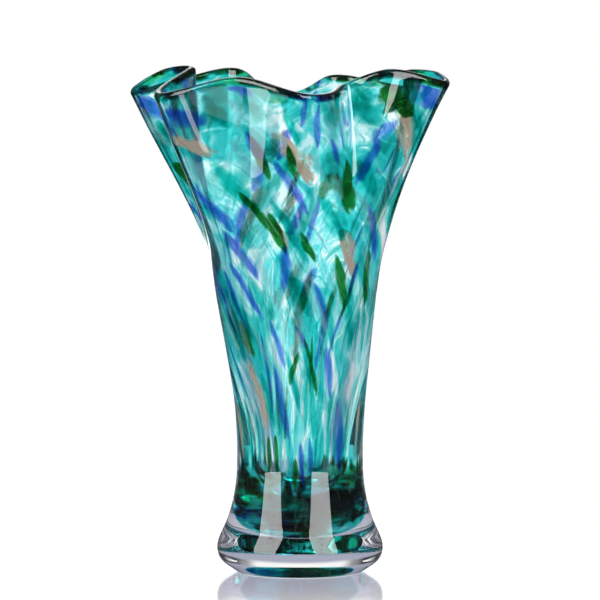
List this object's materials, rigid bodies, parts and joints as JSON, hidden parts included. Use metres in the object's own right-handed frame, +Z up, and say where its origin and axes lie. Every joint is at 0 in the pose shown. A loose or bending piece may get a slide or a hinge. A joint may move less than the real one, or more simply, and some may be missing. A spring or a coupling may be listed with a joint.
{
  "type": "hand blown art glass vase",
  "caption": "Tall heavy-footed glass vase, trumpet shaped with a ruffled lip, clear glass over streaked teal, blue, green and sand colour.",
  "frame": {"origin": "centre of the flat foot, on the surface that the vase stands on", "axes": "+Z up along the axis of the body; -Y towards the front, where the lip droops lowest; +X to the right seen from the front"},
  "size_m": [0.1901, 0.1772, 0.3033],
  "materials": {
    "clear_casing": "fire polished, clear",
    "clear_gather": "smooth, clear",
    "teal_colour": "transparent teal colour coat",
    "deep_teal_colour": "deep teal chips",
    "pale_aqua_colour": "pale aqua chips, a little milky",
    "cobalt_colour": "cobalt blue chips",
    "green_aventurine": "green aventurine chips with a fine sparkle",
    "sand_colour": "opaque sand-beige chips"
  },
  "bodies": {
    "root": {"outer_casing": "clear_casing", "inner_gather": "clear_gather", "teal_coat": "teal_colour", "deep_teal_chips": "deep_teal_colour", "pale_aqua_chips": "pale_aqua_colour", "cobalt_chips": "cobalt_colour", "green_aventurine_chips": "green_aventurine", "sand_chips": "sand_colour"}
  },
  "joints": []
}
